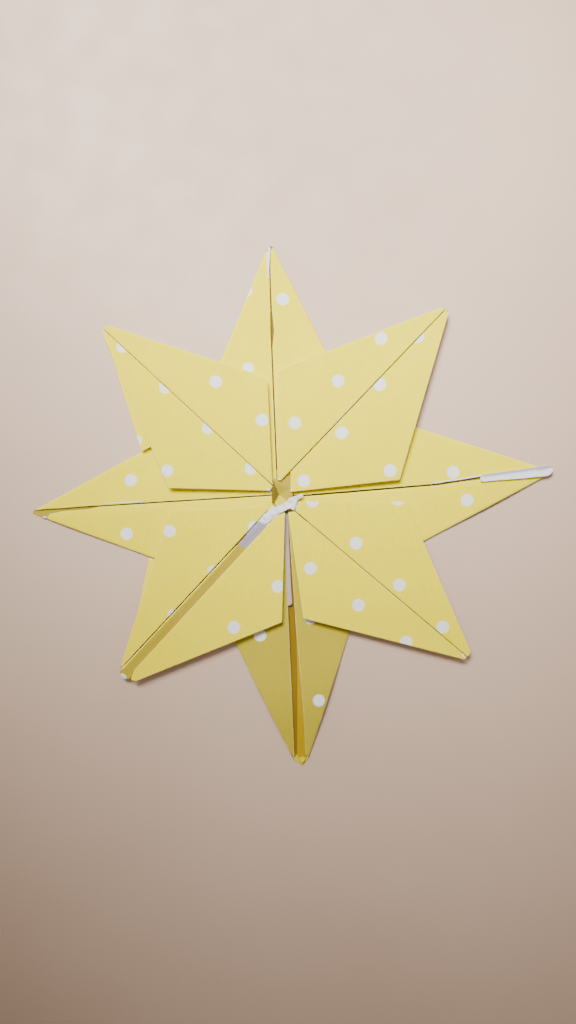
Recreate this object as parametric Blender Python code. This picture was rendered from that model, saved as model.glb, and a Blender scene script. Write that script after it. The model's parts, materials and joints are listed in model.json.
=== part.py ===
"""Eight-pointed star folded from patterned paper, lying on its back.

Four long points (north, east, south, west) lie flat at the bottom.  Each is a thin pocket: one
back panel, and two halves that rise from the outer folds to a slit along the middle.  Four
kite-shaped points lie on top of them, on the diagonals.  Each kite is a back panel with two
double-layer flaps, which open upwards about the kite's spine like the pages of a book.

+Y is north, +X is east and +Z is up.  The origin is the middle of the back, on its lower face.
The tables are in millimetres; objects are made in metres.
"""
import math

import bpy
from mathutils import Matrix, Vector

MM = 0.001

# Driving dimensions, in millimetres and degrees
PAPER = 0.25             # thickness of one panel
GAP = 0.3                # clearance between panels that would touch
HALF_TILT = 1.8          # slope of a long point's halves, from the outer fold up to the slit
CENTRE_HALF_SIDE = 8.0   # the square middle of the back, half its side
HOLE_HALF_SIDE = 2.4     # the opening left at the star's middle, half its side
LINING_INSET = 0.6       # how far a flap's under layer stays inside its face
SHORT_SIDE = 3.5         # a flap's sides shorter than this are left out of its lining
FOLD_RADIUS = 0.3        # rounding of an ordinary folded corner

# Heights of the undersides, from the bottom layer up
STEP = PAPER + GAP
HALF_Z = STEP                                    # at the outer fold of a long point
KITE_BACK_Z = 2.08                               # clears the inner ends of the sloping halves
LINING_Z = KITE_BACK_Z + STEP
FACE_Z = LINING_Z + STEP
SPINE_Z = FACE_Z + PAPER                         # the flaps turn about their top inner edges

# Long points, looking outwards: the tip, then where the left and the right outer fold start next
# to it, and a point further down each.  The slit's points run from the middle to the tip, each
# with the width of the opening there.
LONG_POINTS = {
    "north": dict(heading=90, tip=(1.1, 73.7), left_side="west",
                  left=[(-0.2, 72.3), (-16.0, 40.4)], right=[(1.7, 73.5), (15.2, 41.8)],
                  slit=[(-1.7, 3.5, 0.35), (-0.5, 44.0, 0.4), (-0.05, 48.6, 1.1),
                        (0.05, 54.6, 0.5), (0.5, 66.0, 0.35), (0.9, 72.0, 0.35)]),
    "west": dict(heading=180, tip=(-73.9, 0.5), left_side="south",
                 left=[(-70.0, -1.4), (-40.4, -14.7)], right=[(-73.3, 1.2), (-40.1, 16.4)],
                 slit=[(-3.0, 0.8, 0.35), (-54.5, 1.15, 0.35), (-57.5, 0.9, 1.0),
                       (-64.5, 0.85, 0.9), (-68.8, 0.65, 1.5)]),
    "south": dict(heading=270, tip=(-0.3, -79.0), left_side="east",
                  left=[(1.7, -77.0), (16.5, -40.4)], right=[(-2.5, -77.0), (-17.0, -41.9)],
                  slit=[(0.2, -3.5, 1.2), (-0.2, -37.0, 2.0), (-0.28, -62.0, 3.1),
                        (-0.6, -75.4, 3.3)]),
    "east": dict(heading=0, tip=(79.2, 2.0), left_side="north",
                 left=[(78.8, 2.2), (41.1, 17.2)], right=[(78.8, 1.6), (40.2, -15.6)],
                 slit=[(3.0, 0.0, 0.45), (45.2, 0.55, 0.5), (51.8, 1.2, 0.65),
                       (56.2, 1.5, 0.9), (60.0, 1.5, 0.5), (76.3, 1.95, 0.4)]),
}
OPPOSITE = {"north": "south", "south": "north", "east": "west", "west": "east"}

# Flaps: the spine from its inner to its outer end, and the free corners from the outer end back
# to the inner one, each with the radius of its rounding.
FLAPS = {
    "ne_flap_north_side": dict(spine=[(-0.5, 4.7), (50.5, 51.0)],
                               free=[(49.3, 51.6, 0.6), (0.9, 36.9, 2.0), (-1.4, 5.0, 0.2)]),
    "ne_flap_east_side": dict(spine=[(2.3, 7.2), (50.5, 51.0)],
                              free=[(51.4, 49.9, 0.6), (33.8, 2.6, FOLD_RADIUS),
                                    (2.0, 1.3, FOLD_RADIUS)]),
    "nw_flap_north_side": dict(spine=[(-2.9, 3.4), (-48.9, 52.3)],
                               free=[(-47.3, 53.2, 0.6), (-2.4, 34.9, 3.5), (-3.1, 4.9, 0.2)]),
    "nw_flap_west_side": dict(spine=[(-2.9, 3.4), (-48.9, 52.3)],
                              free=[(-49.2, 50.9, 0.5), (-33.2, 4.9, FOLD_RADIUS),
                                    (-4.0, 2.1, FOLD_RADIUS)]),
    "sw_flap_south_side": dict(spine=[(-2.9, -5.4), (-46.8, -46.8)],
                               free=[(-48.0, -49.8, FOLD_RADIUS), (-46.6, -50.3, FOLD_RADIUS),
                                     (-3.1, -36.2, FOLD_RADIUS), (0.0, -4.4, FOLD_RADIUS)]),
    "sw_flap_west_side": dict(spine=[(-3.9, -2.6), (-51.0, -46.7)],
                              free=[(-33.3, -1.7, FOLD_RADIUS)]),
    "se_flap_south_side": dict(spine=[(2.9, -4.3), (49.9, -50.1)],
                               free=[(48.7, -50.6, 0.5), (3.1, -35.5, FOLD_RADIUS),
                                     (0.9, -4.5, FOLD_RADIUS)]),
    "se_flap_east_side": dict(spine=[(2.9, -4.3), (49.9, -50.1)],
                              free=[(50.9, -48.5, 0.5), (35.3, -3.9, FOLD_RADIUS),
                                    (4.0, -1.6, FOLD_RADIUS)]),
}

# Kite backs: the tip, then the corners anticlockwise.  The two western ones stand proud of their
# flaps along the western edge, as far as the notch with the west point.
KITE_BACKS = {
    "ne_back": [(50.3, 50.7), (4.5, 34.5), (4.5, 9.0), (9.0, 4.5), (33.0, 4.5)],
    "nw_back": [(-48.9, 51.8), (-40.4, 16.1), (-37.1, 17.6), (-31.6, 6.8), (-9.0, 4.5),
                (-4.8, 8.8), (-5.0, 33.0)],
    "sw_back": [(-50.2, -49.4), (-5.0, -34.8), (-5.2, -9.4), (-8.6, -5.6), (-31.6, -4.4),
                (-37.4, -16.2), (-40.4, -14.9)],
    "se_back": [(49.5, -49.7), (33.9, -5.8), (9.0, -4.6), (4.6, -9.0), (5.2, -34.2)],
}

# Inner layers that show in the two open slits, as centre lines with a width
SW_PLEAT = dict(start=(-4.5, -5.0), end=(-48.4, -46.9), width=2.1)
SOUTH_PLEAT = dict(start=(0.2, -9.0), end=(-0.5, -32.0), width=4.0)

# The rolled-up raw edge at the end of the east point
CURL_START = (57.8, 1.4)
CURL_END = (78.4, 2.4)
CURL_RADIUS = 1.0
CURL_ARC = (-50, 215)    # degrees round the roll
CURL_STEPS = 14
CURL_Z = 1.4             # underside, clear of the two halves beneath

# Colours, linear RGB, and the paper's roughness
YELLOW = (0.75, 0.68, 0.21)
GOLD = (0.50, 0.38, 0.06)
SHADED_YELLOW = (0.64, 0.56, 0.15)
WHITE = (0.80, 0.79, 0.80)
GREY = (0.36, 0.35, 0.42)
PAPER_ROUGHNESS = 0.62


def clear_scene():
    for item in list(bpy.data.objects):
        bpy.data.objects.remove(item, do_unlink=True)


def paper_material(name, colour):
    """A matt paper finish of its own for one panel."""
    material = bpy.data.materials.new(name)
    material.use_nodes = True
    shader = material.node_tree.nodes["Principled BSDF"]
    shader.inputs["Base Color"].default_value = (*colour, 1.0)
    shader.inputs["Roughness"].default_value = PAPER_ROUGHNESS
    shader.inputs["Metallic"].default_value = 0.0
    return material


def meet(point, direction, other_point, other_direction):
    """Where two lines in the plane cross."""
    cross = direction.cross(other_direction)
    along = (other_point - point).cross(other_direction) / cross
    return point + direction * along


def round_corner(before, corner, after, radius, steps=3):
    """The points of an arc that replaces a corner, clipped to 40% of its two sides."""
    arm_in = (before - corner).normalized()
    arm_out = (after - corner).normalized()
    half_angle = arm_in.angle(arm_out) / 2
    shorter = min((before - corner).length, (after - corner).length)
    reach = min(radius / math.tan(half_angle), 0.4 * shorter)
    start = corner + arm_in * reach
    end = corner + arm_out * reach
    points = []
    for step in range(steps + 1):
        t = step / steps
        points.append(start * (1 - t) ** 2 + corner * 2 * t * (1 - t) + end * t ** 2)
    return points


def rounded(corners):
    """An outline with each (x, y, radius) corner rounded."""
    points = [Vector(corner[:2]) for corner in corners]
    outline = []
    for index, corner in enumerate(corners):
        before = points[index - 1]
        after = points[(index + 1) % len(points)]
        outline += round_corner(before, points[index], after, corner[2])
    return outline


def signed_area(points):
    total = 0.0
    for index, point in enumerate(points):
        total += points[index - 1].cross(point)
    return total / 2


def inset(corners, distance):
    """The corners of a convex outline moved inwards by the same distance on every side."""
    points = [Vector(corner[:2]) for corner in corners]
    turn = math.copysign(1.0, signed_area(points))
    sides = []
    for index, point in enumerate(points):
        along = (point - points[index - 1]).normalized()
        inward = Vector((-along.y, along.x)) * turn
        sides.append((point + inward * distance, along))
    moved = []
    for index, corner in enumerate(corners):
        following = sides[(index + 1) % len(sides)]
        crossing = meet(sides[index][0], sides[index][1], following[0], following[1])
        moved.append((crossing.x, crossing.y, corner[2]))
    return moved


def without_short_sides(corners):
    """The outline less each corner close to the one before it or to the first: the blunt ends."""
    kept = [corners[0]]
    for corner in corners[1:]:
        place = Vector(corner[:2])
        if all((place - Vector(near[:2])).length > SHORT_SIDE for near in (kept[0], kept[-1])):
            kept.append(corner)
    return kept


def with_radius(points, radius=FOLD_RADIUS):
    return [(point[0], point[1], radius) for point in points]


def fold_frame(start, end, height, tilt=0.0):
    """A frame on a fold line: origin at its start, X along it, and turned about X by tilt."""
    along = Vector(end) - Vector(start)
    place = Matrix.Translation(Vector((start[0], start[1], height)) * MM)
    heading = Matrix.Rotation(math.atan2(along.y, along.x), 4, "Z")
    return place @ heading @ Matrix.Rotation(math.radians(tilt), 4, "X")


def panel(name, corners, frame, colour, collection):
    """A flat sheet of paper: the rounded outline, filled and given the paper's thickness.

    The outline is in the star's plane; frame is the sheet's place, with its middle at local z 0.
    """
    curve = bpy.data.curves.new(name, "CURVE")
    curve.dimensions = "2D"
    curve.fill_mode = "BOTH"
    curve.extrude = PAPER / 2 * MM
    outline = rounded(corners)
    along = frame.col[0].xy.normalized()
    spline = curve.splines.new("POLY")
    spline.points.add(len(outline) - 1)
    for spline_point, corner in zip(spline.points, outline):
        offset = corner * MM - frame.translation.xy
        spline_point.co = (along.dot(offset), along.cross(offset), 0, 1)
    spline.use_cyclic_u = True

    item = bpy.data.objects.new(name, curve)
    item.matrix_world = frame
    curve.materials.append(paper_material(name + "_paper", colour))
    collection.objects.link(item)
    return item


def level(height):
    """The frame of a horizontal panel whose underside is at this height."""
    return Matrix.Translation(Vector((0, 0, height + PAPER / 2)) * MM)


def quarter_edges(heading):
    """The two diagonals that bound a long point's quarter, each drawn in by half a gap."""
    edges = []
    for turn in (45, -45):
        angle = math.radians(heading + turn)
        along = Vector((math.cos(angle), math.sin(angle)))
        inward = Vector((along.y, -along.x)) * math.copysign(1.0, turn)
        edges.append((inward * GAP / 2, along))
    return edges


def corner_at(edge, heading, distance):
    """The point of a quarter's edge that lies this far out along the heading."""
    angle = math.radians(heading)
    outwards = Vector((math.cos(angle), math.sin(angle)))
    across = Vector((-outwards.y, outwards.x))
    return meet(edge[0], edge[1], outwards * distance, across)


def slit_side(slit, tip, across):
    """One side of a slit: its points, each moved across by half of the opening's width."""
    points = [Vector(point[:2]) for point in slit] + [tip]
    moved = []
    for index, point in enumerate(slit):
        along = (points[index + 1] - points[index]).normalized()
        moved.append(points[index] + Vector((-along.y, along.x)) * across * point[2] / 2)
    return moved


def build_long_point(name, spec, collection):
    """One back panel and the two halves over it."""
    tip = Vector(spec["tip"])
    heading = spec["heading"]
    edges = quarter_edges(heading)
    fold_starts = [Vector(spec[side][0]) for side in ("left", "right")]
    folds = [(Vector(spec[side][1]) - start).normalized()
             for side, start in zip(("left", "right"), fold_starts)]
    shoulders = [meet(start, fold, edge[0], edge[1])
                 for start, fold, edge in zip(fold_starts, folds, edges)]

    inner = [corner_at(edge, heading, CENTRE_HALF_SIDE + GAP) for edge in edges]
    back = [tip, fold_starts[0], shoulders[0], inner[0], inner[1], shoulders[1], fold_starts[1]]
    panel(name + "_back", with_radius(back), level(0), SHADED_YELLOW, collection)

    sides = (spec["left_side"], OPPOSITE[spec["left_side"]])
    for index, side in enumerate(sides):
        across = 1 if index == 0 else -1
        hole_corner = corner_at(edges[index], heading, HOLE_HALF_SIDE)
        half_tip = fold_starts[index] + folds[index] * GAP
        corners = [half_tip, shoulders[index], hole_corner] + slit_side(spec["slit"], tip, across)
        frame = fold_frame(fold_starts[index], shoulders[index], HALF_Z + PAPER / 2,
                           across * HALF_TILT)
        panel(f"{name}_half_{side}_side", with_radius(corners, 0.15), frame, YELLOW, collection)


def build_flap(name, spec, collection):
    """A face and its lining, both hung on an empty that lies on the spine."""
    start, end = (Vector(point) for point in spec["spine"])
    along = (end - start).normalized()
    to_free = Vector(spec["free"][0][:2]) - end
    side = math.copysign(1.0, along.cross(to_free))
    clear = Vector((-along.y, along.x)) * side * GAP / 2
    start = start + clear
    end = end + clear

    spine = bpy.data.objects.new(name + "_spine", None)
    spine.empty_display_size = 5 * MM
    spine.matrix_world = fold_frame(start, end, SPINE_Z)
    collection.objects.link(spine)

    corners = [(start.x, start.y, 0.15), (end.x, end.y, FOLD_RADIUS)] + spec["free"]
    layers = {
        "face": (corners, FACE_Z, YELLOW),
        "lining": (inset(without_short_sides(corners), LINING_INSET), LINING_Z, WHITE),
    }
    for layer, (outline, underside, colour) in layers.items():
        frame = fold_frame(start, end, underside + PAPER / 2)
        item = panel(f"{name}_{layer}", outline, frame, colour, collection)
        item.parent = spine
        item.matrix_parent_inverse = Matrix.Identity(4)
        item.matrix_basis = spine.matrix_world.inverted() @ frame


def strip_corners(spec):
    """The four corners of a straight strip, anticlockwise."""
    start = Vector(spec["start"])
    end = Vector(spec["end"])
    along = (end - start).normalized()
    side = Vector((-along.y, along.x)) * spec["width"] / 2
    return [start + side, start - side, end - side, end + side]


def build_curl(collection):
    """A C-shaped roll of paper, extruded along the east point's slit."""
    start = Vector(CURL_START)
    end = Vector(CURL_END)
    length = (end - start).length
    first, last = (math.radians(angle) for angle in CURL_ARC)
    outline = []
    for radius, sweep in ((CURL_RADIUS, (first, last)), (CURL_RADIUS - PAPER, (last, first))):
        for step in range(CURL_STEPS + 1):
            angle = sweep[0] + (sweep[1] - sweep[0]) * step / CURL_STEPS
            outline.append((radius * math.cos(angle), radius * math.sin(angle)))

    curve = bpy.data.curves.new("east_tip_curl", "CURVE")
    curve.dimensions = "2D"
    curve.fill_mode = "BOTH"
    curve.extrude = length / 2 * MM
    spline = curve.splines.new("POLY")
    spline.points.add(len(outline) - 1)
    for spline_point, (x, y) in zip(spline.points, outline):
        spline_point.co = (x * MM, y * MM, 0, 1)
    spline.use_cyclic_u = True

    item = bpy.data.objects.new("east_tip_curl", curve)
    middle = (start + end) / 2
    along = end - start
    place = Matrix.Translation(Vector((middle.x, middle.y, CURL_Z + CURL_RADIUS)) * MM)
    heading = Matrix.Rotation(math.atan2(along.y, along.x), 4, "Z")
    stand = Matrix.Rotation(math.radians(90), 4, "Y") @ Matrix.Rotation(math.radians(90), 4, "Z")
    item.matrix_world = place @ heading @ stand
    curve.materials.append(paper_material("east_tip_curl_paper", WHITE))
    collection.objects.link(item)


def build_star():
    clear_scene()
    star = bpy.data.collections.new("paper_star")
    bpy.context.scene.collection.children.link(star)

    side = CENTRE_HALF_SIDE
    square = [(side, side), (-side, side), (-side, -side), (side, -side)]
    panel("centre_back", with_radius(square, 0.5), level(0), GOLD, star)
    for name, spec in LONG_POINTS.items():
        build_long_point(name, spec, star)
    for name, corners in KITE_BACKS.items():
        panel(name, with_radius(corners), level(KITE_BACK_Z), SHADED_YELLOW, star)
    for name, spec in FLAPS.items():
        build_flap(name, spec, star)
    panel("sw_inner_pleat", with_radius(strip_corners(SW_PLEAT), 0.2), level(LINING_Z), GREY, star)
    panel("south_inner_pleat", with_radius(strip_corners(SOUTH_PLEAT), 0.2), level(HALF_Z), GREY, star)
    build_curl(star)


build_star()
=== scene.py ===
"""The looks of the folded paper star: creased sheets, raw edges, print, wear and painted light and shade.

Lengths here are in millimetres, in the star's own plane (+X east, +Y north, +Z up), and meshes are
made in metres.  The large panels take their outlines from their CAD nodes, seen from above; those
of the small pieces are given here.  Each gets its thickness, rounded edges, waves and paper.
"""

import json
import math
import random

import bpy
import numpy as np
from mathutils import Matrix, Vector
from mathutils.geometry import delaunay_2d_cdt


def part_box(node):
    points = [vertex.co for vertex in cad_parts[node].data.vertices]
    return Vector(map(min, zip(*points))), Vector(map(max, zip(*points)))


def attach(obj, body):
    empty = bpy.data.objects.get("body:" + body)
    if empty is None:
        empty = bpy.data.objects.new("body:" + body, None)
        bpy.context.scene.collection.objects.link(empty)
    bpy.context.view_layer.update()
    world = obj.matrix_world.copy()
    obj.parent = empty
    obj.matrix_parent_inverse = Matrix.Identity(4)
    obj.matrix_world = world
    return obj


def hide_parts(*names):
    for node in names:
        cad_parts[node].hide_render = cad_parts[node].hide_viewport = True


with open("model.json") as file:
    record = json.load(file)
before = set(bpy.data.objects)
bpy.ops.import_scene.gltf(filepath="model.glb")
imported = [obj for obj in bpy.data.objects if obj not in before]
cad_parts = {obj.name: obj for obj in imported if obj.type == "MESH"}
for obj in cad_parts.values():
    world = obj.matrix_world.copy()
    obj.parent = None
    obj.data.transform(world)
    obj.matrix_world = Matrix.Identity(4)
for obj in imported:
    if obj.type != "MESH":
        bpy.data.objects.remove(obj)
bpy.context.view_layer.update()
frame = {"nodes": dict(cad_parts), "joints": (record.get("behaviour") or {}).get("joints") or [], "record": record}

MM = 0.001

# Paper and folds
SHEET = 0.13             # one sheet of paper
FLAP_EDGE = 0.15         # rounding of a flap's folded edge: half its thickness there
FLAP_PUFF = 0.42         # how much a flap thickens away from its edges
PUFF_REACH = 5.0
FOLD_RISE = 0.30         # half the height of a long point's outer fold
HALF_TOP = 0.74          # upper side of a long point's half at its outer fold
HALF_TILT = math.radians(1.8)
FLAP_FLOOR = 2.645       # lowest that a flap's underside may reach
FLAP_DROP = 0.02         # a flap's upper side starts this far below its hinge line
FLAP_WAVE = 0.05         # height of the slow waves in a flap
FLAP_WAVE_REACH = 4      # they reach that height this far inside its edges
HALF_WAVE = 0.10         # the same in the long points' halves
HALF_WAVE_REACH = (0.5, 8)   # they start, and reach that height, this far from the outer fold
WAVE_LENGTHS = (52, 31, 19)
WAVE_SUM = 1.97          # about the most that those waves add up to

# Spacing of the meshes: along an outline, and along the rows of the grid inside it
EDGE_STEP = 1.1
GRID_STEP = 1.7
ROW_SHARE = 0.866        # the grid's rows are this share of a step apart
EDGE_RINGS = (0.15, 0.5, 1.0)    # shares of an edge's rounding at which it has a ring of points
INNER_RINGS = (0.35, 1.0)        # and how far inside the rounding there are two more
RING_CLEARANCE = 0.93    # a ring keeps the points that lie this share of its distance inside
GRID_CLEARANCE = 0.45    # grid points keep this share of a step to the last ring

HEADINGS = {"north": (0, 1), "east": (1, 0), "south": (0, -1), "west": (-1, 0)}
SIDES = {"north": ("west", "east"), "south": ("west", "east"),
         "west": ("north", "south"), "east": ("north", "south")}
KITES = ("ne", "nw", "sw", "se")

# The print: a panel's dots lie on a square lattice, given by one dot's place, the lattice's turn
# in degrees, and its pitch
DOT_RADIUS = 1.80
PITCH = 17.4
LATTICES = {
    "north_half_west_side": (-7.8, 38.4, 42.2, 15.9),
    "north_half_east_side": (3.7, 57.7, 45, PITCH),
    "east_half_north_side": (49.8, 3.8, 36, PITCH),
    "east_half_south_side": (53.3, -4.6, 50, PITCH),
    "south_half_west_side": (-9.8, -39.8, 45, PITCH),
    "south_half_east_side": (6.0, -59.8, 46.9, 16.9),
    "west_half_north_side": (-44.3, 8.1, 45, PITCH),
    "west_half_south_side": (-46.6, -7.5, 45, PITCH),
    "nw_flap_north_side": (-17.4, 34.7, 46.6, PITCH),
    "nw_flap_west_side": (-20.6, 21.5, 42.4, 17.1),
    "ne_flap_north_side": (18.0, 32.5, 40.3, 17.5),
    "ne_flap_east_side": (30.0, 30.6, 47.8, 17.8),
    "se_flap_east_side": (19.9, -14.8, 42, 17.5),
    "se_flap_south_side": (19.3, -32.8, 48.5, 17.5),
    "sw_flap_south_side": (-17.1, -36.7, 39, PITCH),
    "sw_flap_west_side": (-21.8, -20.1, 43.6, 17.3),
    "nw_back": (-41.9, 19.3, 0, PITCH),
}
PLAIN_LATTICE = (6.2, 8.4, 45, PITCH)    # for panels whose dots don't show
DOT_SOFTNESS = 0.012     # a dot's edge fades over this share of the pitch, either way
DOT_RAGGEDNESS = 0.010   # and it wanders by this share
DOT_COVER = 0.96         # how far the white of a dot hides the yellow

UNPRINTED_LIP = 4.0      # width of the white reverse beneath the edge of a slit

# How far a flap sinks along its spine, next to the other flap's edge
SPINE_DIP = {
    "nw_flap_west_side": 0.50,
    "ne_flap_east_side": 0.50,
    "se_flap_east_side": 0.22,
    "se_flap_south_side": 0.22,
}
SHALLOW_DIP = 0.05       # for the other flaps
DIP_REACH = 3.2
DIP_SHAPE = 1.5          # how steeply the dip ends, away from the spine
DIP_FADE = 0.75          # share of the dip that is gone at the flap's tip
FREE_FROM = 0.4          # corners farther than this from the spine belong to the free edges
TURNED_UNDER = 9.0       # paper turned under along a flap's free edges, seen when it is open
TURNED_STEP = 0.10       # where it ends, the flap is thinner by this
STEP_HALF_WIDTH = 0.1
SMALLEST_GAP = 1.5       # turned-under edges that come closer than this are taken to meet

# Backs of the kites and of the middle: distance below the CAD's top, waves, thickness, rounding
KITE_BACK_DROP = 0.09
KITE_BACK_WAVE = 0.06
KITE_BACK_THICKNESS = 0.2
KITE_BACK_EDGE = 0.1
CENTRE_BACK_THICKNESS = 0.25
CENTRE_BACK_EDGE = 0.08

# Slit edges of the long points: how far the edge bends down, and over what width
LIP_DROOP = {
    "south_half_east_side": (0.12, 0.8),
    "south_half_west_side": (0.10, 0.8),
    "west_half_south_side": (0.25, 1.2),
    "east_half_south_side": (0.20, 1.0),
}
LOWEST_LIP = 0.34        # a drooping edge stays above the back panel
HEEL_SLANT = 0.4         # picks a half's inner corner at the slit rather than the one at its fold

# Each long point bows up off the table between the kites and its tip
POINT_BOW = {"north": 0.4, "east": 0.5, "south": 1.3, "west": 0.3}
BOW_FROM, BOW_TO = 43.0, 78.0

# White raw edges lying along the slits: the half that each belongs to, and x, y, width
RAW_EDGES = {
    "north_raw_edge": ("north_half_west_side",
                       [(-0.05, 63.6, 0.15), (0.1, 66.9, 0.55), (0.4, 71.4, 1.0),
                        (0.9, 73.2, 0.6)]),
    "west_raw_edge": ("west_half_north_side",
                      [(-40.6, 1.6, 0.35), (-46.0, 1.65, 0.4), (-52.8, 1.75, 0.2)]),
    "east_raw_edge": ("east_half_north_side",
                      [(43.3, 0.95, 0.25), (45.8, 1.2, 0.35), (51.7, 1.6, 0.4),
                       (57.6, 2.2, 0.4), (59.0, 2.2, 0.5)]),
    "west_tip_edge": ("west_half_south_side",
                      [(-71.0, -1.05, 0.3), (-70.3, -1.0, 0.7), (-69.3, -0.95, 0.3)]),
}
RAW_EDGE_LIFT = 0.14     # a raw edge stands this far above its half

# Worn spots, where the print has rubbed off: x, y, radius
WORN_SPOTS = [(-50.6, -49.4, 0.9), (48.9, -49.5, 0.8), (-70.4, -1.4, 0.8), (-1.4, 5.2, 0.7),
              (-4.2, 2.3, 0.7), (2.1, 1.5, 0.5), (78.9, 2.0, 0.6), (-3.6, -2.9, 0.5),
              (3.3, -3.5, 0.7), (0.2, -78.8, 0.5)]

# Places where a dot of the lattice isn't printed: x, y, radius
BLANK_SPOTS = [(-47.7, -43.3, 3.0), (-30.0, 46.7, 3.0), (39.6, 18.0, 3.2)]

# The pleat in the open slit of the south-west kite: its middle line, half its width, and the
# corners of its outer end (past the end of the middle line, and to the side)
SW_PLEAT = ((-4.2, -4.6), (-50.2, -48.6), 2.1)
SW_END = [(-3.2, -2.1), (-0.3, -1.5), (0.5, -0.2), (0.4, 0.9), (-0.8, 2.2), (-3.2, 2.1)]
SW_WHITE_TO = 3.6        # how far from its inner end the white reaches, and then the grey band
SW_GREY_TO = 12.6
SW_BAND_SLANT = 0.25     # the ends of both lie aslant
SW_RAW_FROM = 63.2       # its raw end shows white beyond this, over this half-width
SW_RAW_HALF_WIDTH = 1.0
SW_FOLD = (-0.88, -1.60)     # its fold, beside the middle line at its two ends; south-east is plus
SW_FOLD_Z = 3.02
SW_SLOPES = (0.22, -1.3)     # how it falls away to the south-east and the north-west of the fold
SW_WAVE = (0.05, 2.3)    # a slow wave along it: its height, and its length for each radian
SW_Z = (2.48, 3.1)       # its upper side stays within these
SW_PAINTED_SHADE = (9.0, 58.0, -0.15)     # its north-west side is painted with deep shade: from, to, past the fold
SW_HIGHLIGHT_WIDTH = 0.40     # the painted highlight along the fold
SW_HIGHLIGHT_LIFT = 0.07
SW_HIGHLIGHT_INSET = (0.4, 1.0)   # it starts this far past the grey band, and stops short of the end
SW_HIGHLIGHT_POINTS = 24

# The pleat in the slit of the south point: its middle line, and its bowed upper side
SOUTH_PLEAT = [(-0.45, -4.4), (-0.75, -14.0), (-1.0, -24.0), (-1.1, -31.7)]
SOUTH_PLEAT_WIDTH = 2.6
SOUTH_PLEAT_Z = 1.22
SOUTH_PLEAT_CURVE = 0.16

SOUTH_CUP_FROM = -75.9   # the south point's back is painted lighter, as lit, beyond this y

# The facet inside the south slit, painted golden as shade: its outline, and the line from which it rises
SOUTH_FACET = [(1.0, -34.0), (0.56, -44.8), (0.16, -53.6), (-0.6, -64.0), (-1.34, -73.8),
               (-1.45, -75.4), (-0.9, -77.0), (0.0, -78.0), (0.9, -77.0), (1.65, -75.0),
               (1.75, -62.0), (1.85, -50.0), (1.8, -34.0)]
SOUTH_FACET_LINE = ((1.0, -34.0), (-1.4, -74.5))
SOUTH_FACET_Z = (0.32, 0.60)
SOUTH_FACET_SLOPE = 0.22
SOUTH_CUP_SLANT = 0.5    # its end painted lighter as lit reaches further in at the middle than at the sides
SOUTH_CUP_RIM = (-75.6, -78.2, 0.3)      # where it turns up into the tip's cup, and by how much

# The crumpled white fringe at the star's middle
FRINGE = [(-4.4, -3.2), (-1.9, -2.4), (0.2, -1.7), (1.5, -0.4), (3.6, 0.1), (5.3, 0.6),
          (5.7, 0.15), (3.7, -1.55), (3.4, -3.0), (2.7, -4.2), (1.5, -3.45), (-0.2, -4.1),
          (-2.1, -5.2), (-3.4, -6.2), (-5.9, -7.4), (-6.6, -5.2)]
FRINGE_TOP = 3.12
CREASES = 5              # its sets of sharp creases: how many, spacing, phase, height by spacing
CREASE_LENGTHS = (1.1, 3.0)
CREASE_PHASES = 6
CREASE_HEIGHT = 0.10
TUCK_REACH = 0.22        # it dips under the flaps from this far away, to this far below them
TUCK_GAP = 0.03

# The opening in the middle: outline, lowest point, and the height at which its facets level out
WELL = [(-3.4, 5.2), (-3.6, -1.4), (-2.0, -2.8), (1.8, -2.2), (2.6, 0.6), (2.6, 5.6), (0.6, 6.4)]
WELL_BOTTOM = (-1.3, 0.7, 1.45)
WELL_RIM = 2.52
# Each facet of it: the direction in which it rises, its slope, and its paper, numbered from 0:
# painted golden shade, painted deep shade, or painted light
WELL_FACETS = [((0.35, 1.0), 0.36, 0), ((-1.0, 0.1), 0.62, 1), ((0.15, -1.0), 0.40, 2),
               ((1.0, -0.2), 0.36, 0)]

# The rolled edge at the end of the east point: outline, valley, height there, and its slopes to
# the north and the south of the valley
EAST_CURL = [(57.7, 2.4), (57.4, 1.4), (57.6, 0.4), (62.3, 0.5), (70.0, 0.55), (77.2, 0.8),
             (78.6, 1.5), (78.9, 2.6), (78.3, 3.9), (71.7, 3.4)]
EAST_VALLEY = ((58.4, 1.7), (78.2, 3.0))
EAST_CURL_Z = 1.42
EAST_SLOPES = (0.62, -0.15)
EAST_SHADE_WIDTH = 0.8   # the strip beside the valley, painted greyer as shade

# Ends of the kites that are folded shut under their flaps: outlines and height
KITE_TIPS = {
    "ne": [(48.7, 49.9), (49.9, 51.6), (51.5, 50.6), (50.2, 48.4)],
    "nw": [(-48.7, 52.5), (-49.2, 51.8), (-48.2, 50.2), (-47.0, 51.4)],
}
KITE_TIP_Z = 2.62
KITE_TIP_THICKNESS = 0.3

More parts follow.
